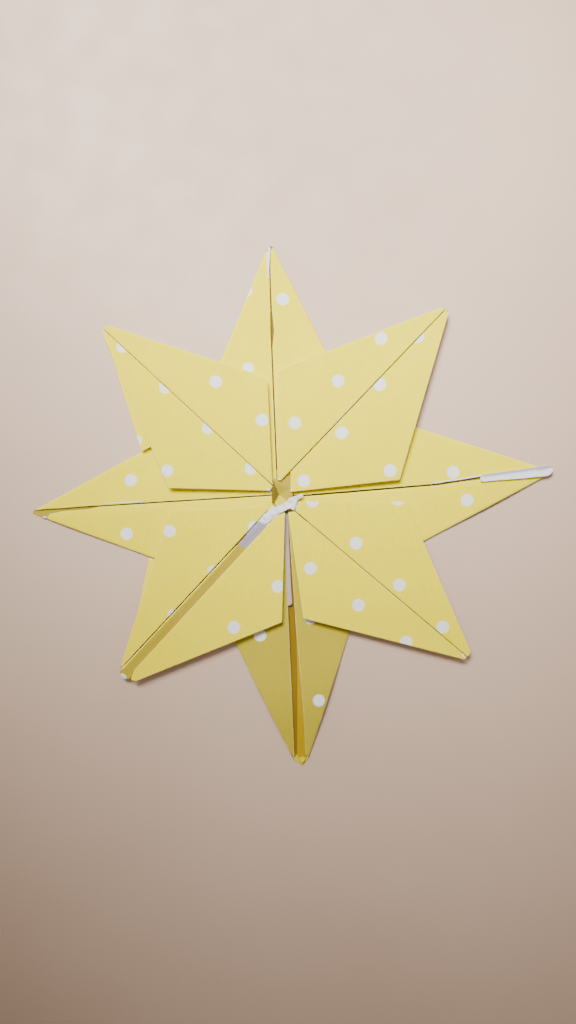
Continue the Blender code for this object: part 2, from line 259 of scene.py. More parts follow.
# Papers: colour, and the deeper tint that mottles it
COLOURS = {
    "dotted_paper": ((0.90, 0.775, 0.0), (0.86, 0.72, 0.0)),
    # painted shade: the south point's print, darker than the rest
    "dotted_paper_painted_shade": ((0.51, 0.415, 0.03), (0.46, 0.365, 0.025)),
    # painted shade: the yellow paper darkened to gold inside the slits, the middle and the kites' ends
    "painted_gold_shade": ((0.44, 0.335, 0.03), (0.38, 0.28, 0.025)),
    # painted shade: the inside of the north and south points' backs, darker still
    "painted_brown_shade": ((0.25, 0.155, 0.01), (0.21, 0.125, 0.008)),
    # painted shade: the deepest shade, in the middle's opening and beside the south-west pleat's fold
    "deep_painted_shade": ((0.18, 0.13, 0.014), (0.15, 0.105, 0.01)),
    # painted shade: the golden facet inside the south slit
    "facet_paper": ((0.46, 0.295, 0.0), (0.40, 0.25, 0.0)),
    # painted shade: the south-west pleat's yellow, darkened to gold
    "pleat_paper": ((0.48, 0.375, 0.03), (0.42, 0.32, 0.025)),
    # painted light: the yellow paper where it is lit, in the middle's opening and the south point's cup
    "painted_lit_yellow": ((0.66, 0.56, 0.02), (0.60, 0.49, 0.02)),
    # painted highlight: the bright line along the south-west pleat's fold
    "fold_paper": ((0.92, 0.82, 0.10), (0.86, 0.75, 0.06)),
    # painted shade: the white reverse greyed beside the east curl's valley
    "painted_valley_shade": ((0.56, 0.53, 0.62), (0.48, 0.45, 0.55)),
    "paper_reverse": ((0.80, 0.79, 0.86), (0.72, 0.71, 0.79)),
    "printed_band": ((0.36, 0.33, 0.40), (0.30, 0.27, 0.34)),
    # painted shade: the white reverse in the south slit
    "shaded_reverse": ((0.50, 0.40, 0.38), (0.42, 0.33, 0.31)),
    "pale_table": ((0.62, 0.450, 0.335), (0.595, 0.425, 0.315)),
}
DOT_WHITE = (0.84, 0.86, 0.88, 1)
FOLD_PALE = (0.90, 0.85, 0.42, 1)        # the yellow where it has rubbed thin along a fold

# Texture scales, per metre: mottling, dents, sheen, the fibres, ragged print and rubbed folds
CLOUD_SCALE = 70
DENT_SCALE = 130
SHEEN_SCALE = 160
FIBRE_SCALE = 2600
STRAND_SCALE = 1900
INK_SCALE = 1500
RUB_SCALE = 420
TABLE_CLOUD_SCALE = 14
TABLE_SHEEN_SCALE = 90
DENT_DEPTH = 0.0006      # metres
TOOTH_DEPTH = 0.00006    # metres
STRAND_STRETCH = (1, 0.22, 1)
STRAND_TURN = (0, 0, 0.6)

# Camera: straight above, turned a little, with a phone's wide view
CAMERA_AT = (0.86, -4.43, 282.5)
CAMERA_TURN = 4.0        # degrees
FOCAL = 33.86            # mm
SENSOR = 36              # mm, the picture's long side
NEAREST_SEEN = 0.01      # metres

# Lamp, in metres and watts
LAMP_AT = (-0.045, 0.265, 0.30)
LAMP_AIM = (0.016, 0.112, 0)
LAMP_CONE = 35.5         # degrees
LAMP_BLEND = 0.4         # share of the cone over which its light fades out
LAMP_RADIUS = 0.17
LAMP_POWER = 47
LAMP_COLOUR = (1.0, 0.985, 0.97)
WORLD_LIGHT = 0.36
WORLD_COLOUR = (1.0, 0.88, 0.78, 1)

# Table top, in metres
TABLE_REACH = 3.0
TABLE_DROP = 0.0001


# ---------------------------------------------------------------- outlines and distances

def plan_outline(node):
    """The outline of a flat CAD panel seen from above, anticlockwise."""
    mesh = frame["nodes"][node].data
    sides = set()
    for face in mesh.polygons:
        if face.normal.z < 0.5:
            continue
        corners = [tuple(round(value / MM, 3) for value in mesh.vertices[index].co.xy)
                   for index in face.vertices]
        for side in zip(corners, corners[1:] + corners[:1]):
            if side[::-1] in sides:
                sides.remove(side[::-1])
            else:
                sides.add(side)
    following = dict(sides)
    loop = [min(following)]
    while following[loop[-1]] != loop[0]:
        loop.append(following[loop[-1]])
    return np.array(loop)


def line_distance(points, start, end):
    """Signed distance from the endless line through two points, positive to its left."""
    along = (end - start) / np.linalg.norm(end - start)
    offset = points - start
    return along[0] * offset[:, 1] - along[1] * offset[:, 0]


def chain_distance(points, chain):
    """Distance from each point to the nearest part of an open chain of segments."""
    nearest = np.full(len(points), 1e9)
    for start, end in zip(chain[:-1], chain[1:]):
        along = end - start
        share = np.clip((points - start) @ along / max(along @ along, 1e-12), 0, 1)
        gap = points - start - share[:, None] * along
        nearest = np.minimum(nearest, np.hypot(gap[:, 0], gap[:, 1]))
    return nearest


def inside(points, outline):
    """Which points lie within a closed outline."""
    found = np.zeros(len(points), bool)
    x, y = points[:, 0], points[:, 1]
    for (x1, y1), (x2, y2) in zip(outline, np.roll(outline, -1, axis=0)):
        if y1 != y2:
            crosses = (y1 > y) != (y2 > y)
            found ^= crosses & (x < (x2 - x1) * (y - y1) / (y2 - y1) + x1)
    return found


def anticlockwise(corners):
    """A closed outline as an array that runs anticlockwise."""
    outline = np.array(corners, float)
    x, y = outline.T
    return outline if x @ np.roll(y, -1) > y @ np.roll(x, -1) else outline[::-1]


def chain_between(outline, first, last):
    """The outline's points from one index to another, going round anticlockwise."""
    count = (last - first) % len(outline)
    return outline[[(first + step) % len(outline) for step in range(count + 1)]]


def resampled(outline, step):
    """The outline with its long sides divided into equal steps."""
    points = []
    for start, end in zip(outline, np.roll(outline, -1, axis=0)):
        parts = max(1, round(float(np.linalg.norm(end - start)) / step))
        points += [start + (end - start) * part / parts for part in range(parts)]
    return np.array(points)


def widened(path):
    """The outline of a strip along x, y, width points, anticlockwise."""
    path = np.array(path, float)
    run = np.gradient(path[:, :2], axis=0)
    run /= np.linalg.norm(run, axis=1)[:, None]
    side = np.stack([-run[:, 1], run[:, 0]], axis=1) * path[:, 2:] / 2
    return anticlockwise(np.vstack([path[:, :2] - side, (path[:, :2] + side)[::-1]]))


def smooth(value, low, high):
    """0 below low, 1 above high, with an S-curve between."""
    share = np.clip((value - low) / (high - low), 0, 1)
    return share * share * (3 - 2 * share)


def waves(points, name, height):
    """A slow undulation of the sheet, its own for each panel."""
    draw = random.Random(name)
    total = np.zeros(len(points))
    for length in WAVE_LENGTHS:
        angle = draw.uniform(0, 2 * math.pi)
        phase = draw.uniform(0, 2 * math.pi)
        run = points[:, 0] * math.cos(angle) + points[:, 1] * math.sin(angle)
        total += np.sin(2 * math.pi * run / length + phase) * length / WAVE_LENGTHS[0]
    return height * total / WAVE_SUM


# ---------------------------------------------------------------- meshes

def fill(outline, rings, spacing, step=EDGE_STEP):
    """Points and triangles covering an outline: its edge, rings just inside it, and a grid."""
    edge = resampled(outline, step)
    closed = np.vstack([outline, outline[:1]])
    before = edge - np.roll(edge, 1, axis=0)
    after = np.roll(edge, -1, axis=0) - edge
    along = before / np.linalg.norm(before, axis=1)[:, None]
    along += after / np.linalg.norm(after, axis=1)[:, None]
    along /= np.maximum(np.linalg.norm(along, axis=1), 1e-9)[:, None]
    inward = np.stack([-along[:, 1], along[:, 0]], axis=1)

    points = [edge]
    for ring in rings:
        moved = edge + inward * ring
        kept = inside(moved, outline) & (chain_distance(moved, closed) > RING_CLEARANCE * ring)
        points.append(moved[kept])
    low, high = edge.min(0), edge.max(0)
    rows = np.arange(low[1], high[1], spacing * ROW_SHARE)
    grid = [(x + spacing / 2 * (row % 2), y) for row, y in enumerate(rows)
            for x in np.arange(low[0], high[0], spacing)]
    grid = np.array(grid) if grid else np.zeros((0, 2))
    clear = chain_distance(grid, closed) > rings[-1] + GRID_CLEARANCE * spacing
    points.append(grid[inside(grid, outline) & clear])
    points = np.vstack(points)

    count = len(edge)
    sides = [(index, (index + 1) % count) for index in range(count)]
    result = delaunay_2d_cdt([Vector(point) for point in points], sides, [], 1, 1e-5)
    flat = np.array([tuple(point) for point in result[0]])
    on_edge = np.zeros(len(flat), bool)
    for new, old in enumerate(result[3]):
        on_edge[new] = any(index < count for index in old)
    return flat, on_edge, [tuple(face) for face in result[2]]


def near_spots(plan, spots):
    """How close each point is to any of the spots, in radii."""
    x, y, radius = np.array(spots).T
    return (np.hypot(plan[:, :1] - x, plan[:, 1:2] - y) / radius).min(1)


def new_piece(name, vertices, faces, indices, uv, edge_mm, reverse_mm, materials):
    """A smooth mesh object from points in millimetres, with its print and wear.

    indices gives each face's material, and uv each point's place in the dot lattice.  Each point
    also knows its distance from the panel's edge, and whether it shows the paper's reverse.
    """
    mesh = bpy.data.meshes.new(name)
    mesh.from_pydata([Vector(vertex) * MM for vertex in vertices], [], faces)
    mesh.polygons.foreach_set("material_index", indices)
    mesh.polygons.foreach_set("use_smooth", [True] * len(faces))
    corners = np.zeros(len(mesh.loops), np.int32)
    mesh.loops.foreach_get("vertex_index", corners)
    layer = mesh.uv_layers.new(name="sheet")
    layer.data.foreach_set("uv", np.asarray(uv, np.float32)[corners].ravel())
    plan = np.array(vertices)[:, :2]
    marks = {"edge_mm": edge_mm, "reverse_mm": reverse_mm,
             "worn": np.exp(-near_spots(plan, WORN_SPOTS) ** 2),
             "printed": near_spots(plan, BLANK_SPOTS) > 1}
    for key, values in marks.items():
        mesh.attributes.new(key, "FLOAT", "POINT").data.foreach_set(
            "value", np.asarray(values, np.float32))
    for material in materials:
        mesh.materials.append(material)
    mesh.validate()
    item = bpy.data.objects.new(name, mesh)
    bpy.context.scene.collection.objects.link(item)
    return item


def lattice_uv(points, lattice):
    """Each point's place in a dot lattice: whole numbers are the middles of dots."""
    x, y, angle, pitch = lattice
    turn = math.radians(angle)
    offset = points - (x, y)
    along = offset[:, 0] * math.cos(turn) + offset[:, 1] * math.sin(turn)
    across = offset[:, 1] * math.cos(turn) - offset[:, 0] * math.sin(turn)
    return np.stack([along, across], axis=1) / pitch


def build_panel(name, outline, top, thickness, radius, lattice, materials,
                under=None, over=None, reverse=None, spacing=GRID_STEP, step=EDGE_STEP):
    """A closed sheet over an outline, its edges rounded to the radius.

    top gives the height of the upper side, thickness the depth below it; both take the plan points
    and their distance from the outline.  over and under pick each side's materials, the first one
    where they are missing.  reverse is positive where the underside shows the paper's white
    reverse.
    """
    rings = [radius * share for share in EDGE_RINGS] + [radius + more for more in INNER_RINGS]
    flat, on_edge, faces = fill(outline, rings, spacing, step)
    depth = chain_distance(flat, np.vstack([outline, outline[:1]]))
    depth[on_edge] = 0
    reach = np.minimum(depth, radius)
    rounding = radius - np.sqrt(np.maximum(radius ** 2 - (radius - reach) ** 2, 0))
    high = top(flat, depth)
    low = high - thickness(flat, depth) + rounding
    high = high - rounding
    low[on_edge] = high[on_edge]

    inner = np.flatnonzero(~on_edge)
    below = np.arange(len(flat))
    below[inner] = len(flat) + np.arange(len(inner))
    vertices = np.vstack([np.column_stack([flat, high]), np.column_stack([flat, low])[inner]])
    under_faces = [tuple(int(below[index]) for index in reversed(face)) for face in faces]
    middles = np.array([flat[list(face)].mean(0) for face in faces])
    indices = [pick(middles) if pick else np.zeros(len(faces), int) for pick in (over, under)]
    uv = lattice_uv(np.vstack([flat, flat[inner]]), lattice)
    edge_mm = np.concatenate([depth, depth[inner]])
    lower = reverse(flat[inner]) if reverse else -np.ones(len(inner))
    reverse_mm = np.concatenate([-np.ones(len(flat)), lower])
    return new_piece(name, vertices, list(faces) + under_faces, np.concatenate(indices), uv,
                     edge_mm, reverse_mm, materials)


# ---------------------------------------------------------------- materials

class Nodes:
    """Short forms for building a material's node tree."""

    def __init__(self, name):
        self.material = bpy.data.materials.new(name)
        self.material.use_nodes = True
        self.tree = self.material.node_tree
        self.shader = self.tree.nodes["Principled BSDF"]

    def node(self, kind, inputs=(), **settings):
        """A new node, with its settings and inputs."""
        made = self.tree.nodes.new(kind)
        for key, value in settings.items():
            setattr(made, key, value)
        for key, value in dict(inputs).items():
            self.put(made.inputs[key], value)
        return made

    def put(self, socket, value):
        """Links a socket to another node's output, or sets its value."""
        if isinstance(value, bpy.types.NodeSocket):
            self.tree.links.new(value, socket)
        else:
            socket.default_value = value

    def math(self, operation, *values):
        made = self.tree.nodes.new("ShaderNodeMath")
        made.operation = operation
        for socket, value in zip(made.inputs, values):
            self.put(socket, value)
        return made.outputs[0]

    def noise(self, scale, detail=3.0, rough=0.5, place=None):
        made = self.node("ShaderNodeTexNoise", {"Scale": scale, "Detail": detail,
                                                "Roughness": rough})
        self.put(made.inputs["Vector"], place or self.place())
        return made.outputs["Fac"]

    def mark(self, name):
        """One of the values that each point of the mesh carries."""
        return self.node("ShaderNodeAttribute", attribute_name=name).outputs["Fac"]

    def place(self):
        return self.node("ShaderNodeTexCoord").outputs["Object"]

    def ramp(self, value, low, high, start=0.0, end=1.0):
        """An S-curve from start to end while the value goes from low to high."""
        made = self.node("ShaderNodeMapRange", {"Value": value, "From Min": low, "From Max": high,
                                                "To Min": start, "To Max": end})
        made.interpolation_type = "SMOOTHSTEP"
        return made.outputs["Result"]

    def mix(self, share, first, second, blend="MIX"):
        made = self.tree.nodes.new("ShaderNodeMix")
        made.data_type = "RGBA"
        made.blend_type = blend
        self.put(made.inputs[0], share)
        self.put(made.inputs[6], first)
        self.put(made.inputs[7], second)
        return made.outputs[2]


def paper_colours(name):
    """A paper's colour and its deeper tint, with their alpha."""
    return [(*colour, 1) for colour in COLOURS[name]]


def add_fibres(nodes, colour, tint):
    """Paper's surface: mottled colour, fibres and soft dents, and a roughness that varies."""
    cloud = nodes.ramp(nodes.noise(CLOUD_SCALE, 4), 0.3, 0.7)
    colour = nodes.mix(nodes.math("MULTIPLY", cloud, 0.35), colour, tint)
    fibre = nodes.noise(FIBRE_SCALE, 3, 0.7)
    stretched = nodes.node("ShaderNodeMapping", {"Vector": nodes.place(),
                                                 "Scale": STRAND_STRETCH,
                                                 "Rotation": STRAND_TURN}).outputs[0]
    strand = nodes.noise(STRAND_SCALE, 2, 0.6, stretched)
    grain = nodes.math("ADD", nodes.math("MULTIPLY", fibre, 0.6),
                       nodes.math("MULTIPLY", strand, 0.4))
    shade = nodes.ramp(grain, 0.3, 0.7, 0.93, 1.05)
    grey = nodes.node("ShaderNodeCombineColor", {"Red": shade, "Green": shade, "Blue": shade})
    colour = nodes.mix(0.8, colour, grey.outputs[0], "MULTIPLY")
    nodes.put(nodes.shader.inputs["Base Color"], colour)
    sheen = nodes.ramp(nodes.noise(SHEEN_SCALE, 3), 0.3, 0.7, 0.55, 0.72)
    nodes.put(nodes.shader.inputs["Roughness"], sheen)
    nodes.put(nodes.shader.inputs["Specular IOR Level"], 0.05)
    dents = nodes.node("ShaderNodeBump", {"Height": nodes.noise(DENT_SCALE, 3, 0.45),
                                          "Strength": 0.35, "Distance": DENT_DEPTH})
    tooth = nodes.node("ShaderNodeBump", {"Height": grain, "Strength": 0.3,
                                          "Distance": TOOTH_DEPTH, "Normal": dents.outputs[0]})
    nodes.put(nodes.shader.inputs["Normal"], tooth.outputs[0])


def dotted_paper(name):
    """Paper with white dots on its printed side, worn pale along its folds, and white beneath."""
    nodes = Nodes(name)
    yellow, deep = paper_colours(name)
    place = nodes.node("ShaderNodeUVMap", uv_map="sheet").outputs[0]
    parts = nodes.node("ShaderNodeSeparateXYZ", {"Vector": place})
    squares = []
    for axis in (0, 1):
        value = parts.outputs[axis]
        offset = nodes.math("SUBTRACT", value, nodes.math("ROUND", value))
        squares.append(nodes.math("MULTIPLY", offset, offset))
    radius = nodes.math("SQRT", nodes.math("ADD", *squares))
    wander = nodes.math("SUBTRACT", nodes.noise(INK_SCALE, 3), 0.5)
    radius = nodes.math("ADD", radius, nodes.math("MULTIPLY", wander, DOT_RAGGEDNESS))
    share = DOT_RADIUS / PITCH
    spot = nodes.ramp(radius, share + DOT_SOFTNESS, share - DOT_SOFTNESS)
    spot = nodes.math("MULTIPLY", spot, nodes.mark("printed"))
    colour = nodes.mix(nodes.math("MULTIPLY", spot, DOT_COVER), yellow, DOT_WHITE)

    broken = nodes.ramp(nodes.noise(RUB_SCALE, 4, 0.6), 0.40, 0.66, 0.25, 1.0)
    near = nodes.ramp(nodes.mark("edge_mm"), 0.36, 0.04)
    rubbed = nodes.math("MULTIPLY", nodes.math("MULTIPLY", near, broken), 0.6)
    colour = nodes.mix(rubbed, colour, FOLD_PALE)
    bare = nodes.math("ADD", nodes.mark("worn"), nodes.math("MULTIPLY", broken, 0.25))
    bare = nodes.ramp(bare, 0.55, 0.75)
    colour = nodes.mix(bare, colour, DOT_WHITE)
    tint = nodes.mix(nodes.math("MAXIMUM", spot, bare), deep, DOT_WHITE)

    white, shade = paper_colours("paper_reverse")
    turned = nodes.ramp(nodes.mark("reverse_mm"), -0.05, 0.05)
    add_fibres(nodes, nodes.mix(turned, colour, white), nodes.mix(turned, tint, shade))
    return nodes.material


def plain_paper(name):
    """Paper without dots: its reverse, its raw edges, and the narrow folds inside the slits; most are
    the same paper with light or shade painted into its colour.
    """
    nodes = Nodes(name)
    add_fibres(nodes, *paper_colours(name))
    return nodes.material


def table_finish():
    """A plain pale table top, matt and very slightly mottled."""
    nodes = Nodes("pale_table")
    cloud = nodes.ramp(nodes.noise(TABLE_CLOUD_SCALE, 4), 0.3, 0.7)
    colour = nodes.mix(cloud, *paper_colours("pale_table"))
    nodes.put(nodes.shader.inputs["Base Color"], colour)
    sheen = nodes.ramp(nodes.noise(TABLE_SHEEN_SCALE, 3), 0.3, 0.7, 0.5, 0.6)
    nodes.put(nodes.shader.inputs["Roughness"], sheen)
    return nodes.material


PRINTED = dotted_paper("dotted_paper")
PAINTED_SHADE_PRINT = dotted_paper("dotted_paper_painted_shade")     # the south point, its print painted darker as shade
PAINTED_GOLD_SHADE = plain_paper("painted_gold_shade")
PAINTED_BROWN_SHADE = plain_paper("painted_brown_shade")
PAINTED_DEEP_SHADE = plain_paper("deep_painted_shade")
PAINTED_FACET_SHADE = plain_paper("facet_paper")
PAINTED_PLEAT_SHADE = plain_paper("pleat_paper")
PAINTED_LIT_YELLOW = plain_paper("painted_lit_yellow")
PAINTED_FOLD_HIGHLIGHT = plain_paper("fold_paper")
PAINTED_VALLEY_SHADE = plain_paper("painted_valley_shade")
REVERSE = plain_paper("paper_reverse")
BAND = plain_paper("printed_band")
PAINTED_SHADE_REVERSE = plain_paper("shaded_reverse")


# ---------------------------------------------------------------- the long points

def finish_piece(item, body, slot, *nodes):
    """Fixes a piece to its body and hides the CAD nodes that it replaces; slot is not used."""
    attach(item, body)
    if nodes:
        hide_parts(*nodes)


def heading(point):
    """The direction in which a long point points, and the one to its left."""
    out = np.array(HEADINGS[point], float)
    return out, np.array([-out[1], out[0]])


def one_sheet(flat, depth):
    """The thickness of a panel that is a single sheet."""
    return SHEET


def longest_side(chain):
    """The two ends of an open chain's longest segment."""
    lengths = np.linalg.norm(np.diff(chain, axis=0), axis=1)
    longest = int(np.argmax(lengths))
    return chain[longest], chain[longest + 1]


def outer_folds(point):
    """A long point's left and right outer folds, each with the panel on its left hand."""
    outline = plan_outline(f"{point}_back")
    out, left = heading(point)
    tip = int(np.argmax(outline @ out))
    return (longest_side(chain_between(outline, tip, int(np.argmax(outline @ left)))),
            longest_side(chain_between(outline, int(np.argmin(outline @ left)), tip)))


def fold_rounding(from_fold):
    """How far a sheet falls short of its full height close to an outer fold."""
    near = np.clip(from_fold, 0, FOLD_RISE)
    return FOLD_RISE - np.sqrt(np.maximum(FOLD_RISE ** 2 - (FOLD_RISE - near) ** 2, 0))


def bow(flat, point):
    """How far a long point is lifted off the table there."""
    run = flat @ heading(point)[0]
    share = np.clip((run - BOW_FROM) / (BOW_TO - BOW_FROM), 0, 1)
    return POINT_BOW[point] * np.sin(math.pi * share) ** 2


def half_surface(point, side):
    """Upper side of half a long point: it rises from the outer fold to a lip at the slit."""
    name = f"{point}_half_{side}_side"
    outline = plan_outline(name)
    out, left = heading(point)
    on_left = heading(side)[0] @ left > 0
    inward = 1 if on_left else -1
    start, end = outer_folds(point)[0 if on_left else 1]
    tip = int(np.argmax(outline @ out))
    heel = int(np.argmin(outline @ out + HEEL_SLANT * inward * (outline @ left)))
    slit = chain_between(outline, *((heel, tip) if on_left else (tip, heel)))
    droop, reach = LIP_DROOP.get(name, (0, 1))

    def top(flat):
        from_fold = line_distance(flat, start, end)
        height = HALF_TOP + math.tan(HALF_TILT) * from_fold - fold_rounding(from_fold)
        height += waves(flat, name, HALF_WAVE) * smooth(from_fold, *HALF_WAVE_REACH)
        drooping = height - droop * (1 - smooth(chain_distance(flat, slit), 0, reach))
        return np.maximum(drooping, np.minimum(height, LOWEST_LIP)) + bow(flat, point)

    return outline, slit, top


def build_half(point, side):
    """Half of a long point, with the white reverse of the paper beneath its slit edge."""
    name = f"{point}_half_{side}_side"
    outline, slit, top = half_surface(point, side)
    # the south point's halves take the print painted darker as shade
    item = build_panel(name + "_paper", outline, lambda flat, depth: top(flat),
                       one_sheet, SHEET / 2, LATTICES[name],
                       [PAINTED_SHADE_PRINT if point == "south" else PRINTED],
                       reverse=lambda flat: UNPRINTED_LIP - chain_distance(flat, slit))
    finish_piece(item, "star_base", "dotted_paper", name)


def build_raw_edge(name, half, path):
    """A white raw edge that lies along a slit, on top of its half."""
    point, side = half.split("_")[0], half.split("_")[2]
    top = half_surface(point, side)[2]
    item = build_panel(name, widened(path), lambda flat, depth: top(flat) + RAW_EDGE_LIFT,
                       one_sheet, SHEET / 2, PLAIN_LATTICE, [REVERSE], spacing=0.5, step=0.6)
    finish_piece(item, "star_base", "white_paper")


def build_point_back(point):
    """The back of a long point, turned up at its outer folds to meet the halves.

    Its inside is painted golden as shade, brown as deeper shade in the north and south points, and
    lighter as lit in the south one's cup.
    """
    name = f"{point}_back"
    folds = outer_folds(point)

    def top(flat, depth):
        turned_up = sum(fold_rounding(line_distance(flat, *fold)) for fold in folds)
        return SHEET + turned_up + bow(flat, point)

    # painted shade inside the back, and painted light in the south point's cup
    inside_paper = 0 if point in ("east", "west") else 1
    item = build_panel(name + "_paper", plan_outline(name), top, one_sheet, SHEET / 2,
                       PLAIN_LATTICE, [PAINTED_GOLD_SHADE, PAINTED_BROWN_SHADE, PAINTED_LIT_YELLOW],
                       over=lambda flat: np.where(flat[:, 1] < SOUTH_CUP_FROM, 2, inside_paper))
    finish_piece(item, "star_base", "dotted_paper", name)


def build_kite_back(name):
    """The back of a kite, beneath its two flaps."""
    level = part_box(name)[1].z / MM - KITE_BACK_DROP
    item = build_panel(name + "_paper", plan_outline(name),
                       lambda flat, depth: level + waves(flat, name, KITE_BACK_WAVE),
                       lambda flat, depth: KITE_BACK_THICKNESS, KITE_BACK_EDGE,
                       LATTICES.get(name, PLAIN_LATTICE), [PRINTED])
    finish_piece(item, "star_base", "dotted_paper", name)


# ---------------------------------------------------------------- the flaps

def build_flap(joint):
    """One flap: a folded double layer that is thin at its edges and full in the middle."""
    body = joint["child"]
    face, lining = frame["record"]["behaviour"]["bodies"][body]
    name = face.removesuffix("_face")
    outline = plan_outline(face)
    spine = np.array(joint["pos_m"][:2]) / MM
    along = np.array(joint["axis"][:2])
    across = np.array([-along[1], along[0]])
    across *= np.sign((outline.mean(0) - spine) @ across)
    if (outline.mean(0) - spine) @ along < 0:
        along = -along
    length = ((outline - spine) @ along).max()
    ceiling = joint["pos_m"][2] / MM - FLAP_DROP
    dip = SPINE_DIP.get(name, SHALLOW_DIP)
    free = outline[(outline - spine) @ across > FREE_FROM]

    def top(flat, depth):
        from_spine = np.maximum((flat - spine) @ across, 0)
        share = np.clip((flat - spine) @ along / length, 0, 1)
        sink = dip * np.exp(-(from_spine / DIP_REACH) ** DIP_SHAPE) * (1 - DIP_FADE * share)
        wave = waves(flat, name, FLAP_WAVE) + FLAP_WAVE
        return ceiling - sink - wave * smooth(depth, 0, FLAP_WAVE_REACH)

    def thickness(flat, depth):
        full = 2 * FLAP_EDGE + FLAP_PUFF * (1 - np.exp(-depth / PUFF_REACH))
        step = TURNED_STEP * smooth(depth, TURNED_UNDER - STEP_HALF_WIDTH,
                                    TURNED_UNDER + STEP_HALF_WIDTH)
        return np.minimum(full - step, top(flat, depth) - FLAP_FLOOR)

    def reverse(flat):
        beyond = chain_distance(flat, free) - TURNED_UNDER
        return beyond if beyond.max() > SMALLEST_GAP else -np.ones(len(flat))

    item = build_panel(name + "_paper", outline, top, thickness, FLAP_EDGE, LATTICES[name],
                       [PRINTED], reverse=reverse)
    finish_piece(item, body, "dotted_paper", face, lining)


# ---------------------------------------------------------------- the middle and the open slits

def build_centre_back():
    """The square middle of the back."""
    item = build_panel("centre_back_paper", plan_outline("centre_back"),
                       lambda flat, depth: np.full(len(flat), CENTRE_BACK_THICKNESS),
                       lambda flat, depth: CENTRE_BACK_THICKNESS, CENTRE_BACK_EDGE,
                       PLAIN_LATTICE, [PRINTED])
    finish_piece(item, "star_base", "dotted_paper", "centre_back")


def build_well():
    """The facets of folded paper that are seen in the opening at the star's middle, each painted
    with its own light or shade.
    """
    x, y, bottom = WELL_BOTTOM
    papers = np.array([paper for _, _, paper in WELL_FACETS])

    def rises(flat):
        facets = []
        for (east, north), slope, _ in WELL_FACETS:
            run = ((flat[:, 0] - x) * east + (flat[:, 1] - y) * north) / math.hypot(east, north)
            facets.append(slope * run)
        return np.array(facets)

    def top(flat, depth):
        return np.minimum(bottom + np.maximum(rises(flat).max(0), 0), WELL_RIM)

    item = build_panel("centre_well", anticlockwise(WELL), top, one_sheet, SHEET / 2,
                       PLAIN_LATTICE, [PAINTED_GOLD_SHADE, PAINTED_DEEP_SHADE, PAINTED_LIT_YELLOW],
                       over=lambda flat: papers[rises(flat).argmax(0)], spacing=0.4, step=0.4)
    finish_piece(item, "star_base", "dotted_paper")


def build_fringe():
    """The torn white edge at the middle, crumpled, and tucked under the flaps around it."""
    outlines = [plan_outline(frame["record"]["behaviour"]["bodies"][joint["child"]][0])
                for joint in frame["joints"]]
    draw = random.Random("fringe")
    creases = [(draw.uniform(0, 2 * math.pi), draw.uniform(*CREASE_LENGTHS),
                draw.uniform(0, CREASE_PHASES)) for _ in range(CREASES)]

    def top(flat, depth):
        height = np.full(len(flat), FRINGE_TOP)
        for angle, length, phase in creases:
            run = flat[:, 0] * math.cos(angle) + flat[:, 1] * math.sin(angle)
            zigzag = 2 * np.abs((run / length + phase) % 1 - 0.5) - 0.5
            height += CREASE_HEIGHT * length * zigzag
        for outline in outlines:
            gap = chain_distance(flat, np.vstack([outline, outline[:1]]))
            gap[inside(flat, outline)] = 0
            tucked = np.minimum(height, FLAP_FLOOR - TUCK_GAP)
            height = np.where(gap < TUCK_REACH, tucked, height)
        return height

    item = build_panel("centre_fringe", anticlockwise(FRINGE), top, one_sheet, SHEET / 2,
                       PLAIN_LATTICE, [REVERSE], spacing=0.25, step=0.25)
    finish_piece(item, "star_base", "white_paper")


